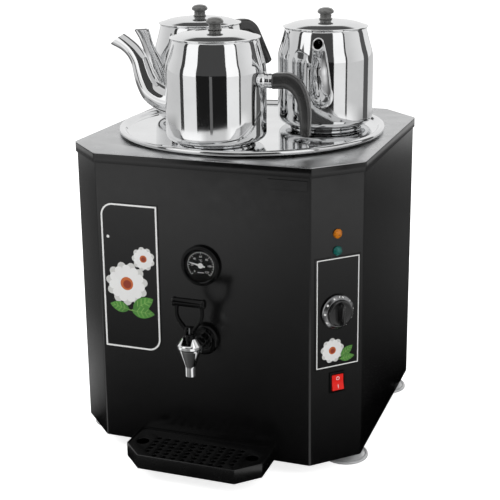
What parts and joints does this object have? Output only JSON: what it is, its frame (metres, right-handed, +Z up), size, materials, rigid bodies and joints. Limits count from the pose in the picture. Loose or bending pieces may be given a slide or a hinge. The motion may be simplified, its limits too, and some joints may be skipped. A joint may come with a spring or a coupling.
{
  "type": "hot water urn",
  "caption": "Octagonal electric hot water urn with lever tap, dial thermometer, thermostat, lamps, switch, drip tray and a round cover that carries teapots.",
  "frame": {"origin": "on the floor, under the middle of the whole outline with its drip tray and its cable gland", "axes": "+X to the user's right, +Y to the back, +Z up; the tap, the dial and the drip tray face -Y"},
  "size_m": [0.406, 0.49, 0.5853],
  "materials": {
    "casing_paint": "semi-gloss black powder coat",
    "zinc_sheet": "plain zinc-coated sheet",
    "top_steel": "satin stainless sheet",
    "tank_steel": "plain stainless",
    "polished_steel": "mirror-polished stainless",
    "pot_plastic": "dark grey heat-proof plastic",
    "foot_silver": "bright silver",
    "tap_chrome": "chrome plate",
    "black_plastic": "black, slightly glossy",
    "small_steel": "turned steel",
    "silicone": "translucent silicone rubber",
    "brass": "plain machined brass",
    "gauge_face": "black dial with white marks",
    "pointer_white": "white",
    "gauge_glass": "clear",
    "lamp_amber": "translucent amber",
    "lamp_green": "translucent green",
    "rocker_red": "red",
    "label_print": "black gloss label",
    "cream_plastic": "cream",
    "wire_cover": "red",
    "wool": "mineral wool"
  },
  "bodies": {
    "urn": {"casing": "casing_paint", "top_frame": "casing_paint", "base_plate": "zinc_sheet", "tank_stand": "zinc_sheet", "top_plate": "top_steel", "tank": "tank_steel", "heater_element": "tank_steel", "foot_front_left": "foot_silver", "foot_front_right": "foot_silver", "foot_rear_left": "foot_silver", "foot_rear_right": "foot_silver", "tap_body": "tap_chrome", "tap_shank": "tap_chrome", "tap_flange": "black_plastic", "tap_bonnet": "black_plastic", "gauge_case": "black_plastic", "gauge_bezel": "black_plastic", "switch_housing": "black_plastic", "cable_gland": "black_plastic", "tap_tank_nut": "brass", "heater_head": "brass", "thermostat_sensor": "brass", "gauge_dial": "gauge_face", "gauge_glass": "gauge_glass", "lamp_amber": "lamp_amber", "lamp_green": "lamp_green", "front_label": "label_print", "control_label": "label_print", "name_plate": "label_print", "thermostat_body": "cream_plastic", "terminal_block": "cream_plastic", "wiring": "wire_cover", "insulation_jacket": "wool"},
    "knob": {"thermostat_knob": "black_plastic", "thermostat_shaft": "small_steel"},
    "rocker": {"switch_rocker": "rocker_red"},
    "pointer": {"gauge_pointer": "pointer_white"},
    "stem": {"tap_stem": "small_steel", "tap_seat_cup": "silicone", "tap_lever_pin": "small_steel"},
    "lever": {"tap_lever": "black_plastic"},
    "cover": {"cover_tray": "polished_steel"},
    "tray": {"drip_tray": "casing_paint"},
    "grid": {"drip_grid": "casing_paint"},
    "pot_front": {"pot_front_body": "polished_steel", "pot_front_spout": "polished_steel", "pot_front_grip": "pot_plastic"},
    "pot_front_cap": {"pot_front_lid": "polished_steel", "pot_front_lid_knob": "pot_plastic"},
    "pot_right": {"pot_right_body": "polished_steel", "pot_right_spout": "polished_steel", "pot_right_grip": "pot_plastic"},
    "pot_right_cap": {"pot_right_lid": "polished_steel", "pot_right_lid_knob": "pot_plastic"},
    "pot_left": {"pot_left_body": "polished_steel", "pot_left_spout": "polished_steel", "pot_left_grip": "pot_plastic"},
    "pot_left_cap": {"pot_left_lid": "polished_steel", "pot_left_lid_knob": "pot_plastic"}
  },
  "joints": [
    {"name": "thermostat_turn", "type": "hinge", "parent": "urn", "child": "knob", "pos_m": [0.173, -0.141, 0.2275], "axis": [0.7071, -0.7071, 0], "range_deg": [-270, 0]},
    {"name": "switch_rock", "type": "hinge", "parent": "urn", "child": "rocker", "pos_m": [0.17371, -0.14029, 0.1305], "axis": [0.7071, 0.7071, 0], "range_deg": [0, 14]},
    {"name": "gauge_turn", "type": "hinge", "parent": "urn", "child": "pointer", "pos_m": [0, -0.168, 0.28], "axis": [0, -1, 0], "range_deg": [-210, 55]},
    {"name": "stem_lift", "type": "slide", "parent": "urn", "child": "stem", "axis": [0, 0, 1], "range_m": [0, 0.004], "stiffness_N_per_m": 8, "springref_m": -0.004},
    {"name": "lever_tilt", "type": "hinge", "parent": "stem", "child": "lever", "pos_m": [0.0025, -0.218, 0.209], "axis": [1, 0, 0], "range_deg": [0, 50]},
    {"name": "cover_lift", "type": "slide", "parent": "urn", "child": "cover", "axis": [0, 0, 1], "range_m": [0, 0.15]},
    {"name": "tray_pull", "type": "slide", "parent": "urn", "child": "tray", "axis": [0, -1, 0], "range_m": [0, 0.1]},
    {"name": "grid_lift", "type": "slide", "parent": "tray", "child": "grid", "axis": [0, 0, 1], "range_m": [0, 0.08]},
    {"name": "pot_front_lift", "type": "slide", "parent": "cover", "child": "pot_front", "axis": [0, 0, 1], "range_m": [0, 0.2]},
    {"name": "pot_front_lid_lift", "type": "slide", "parent": "pot_front", "child": "pot_front_cap", "axis": [0, 0, 1], "range_m": [0, 0.12]},
    {"name": "pot_right_lift", "type": "slide", "parent": "cover", "child": "pot_right", "axis": [0, 0, 1], "range_m": [0, 0.2]},
    {"name": "pot_right_lid_lift", "type": "slide", "parent": "pot_right", "child": "pot_right_cap", "axis": [0, 0, 1], "range_m": [0, 0.12]},
    {"name": "pot_left_lift", "type": "slide", "parent": "cover", "child": "pot_left", "axis": [0, 0, 1], "range_m": [0, 0.2]},
    {"name": "pot_left_lid_lift", "type": "slide", "parent": "pot_left", "child": "pot_left_cap", "axis": [0, 0, 1], "range_m": [0, 0.12]}
  ],
  "couplings": [
    {"joint": "lever_tilt", "follows": "stem_lift", "rad_per_m": 218.17}
  ]
}
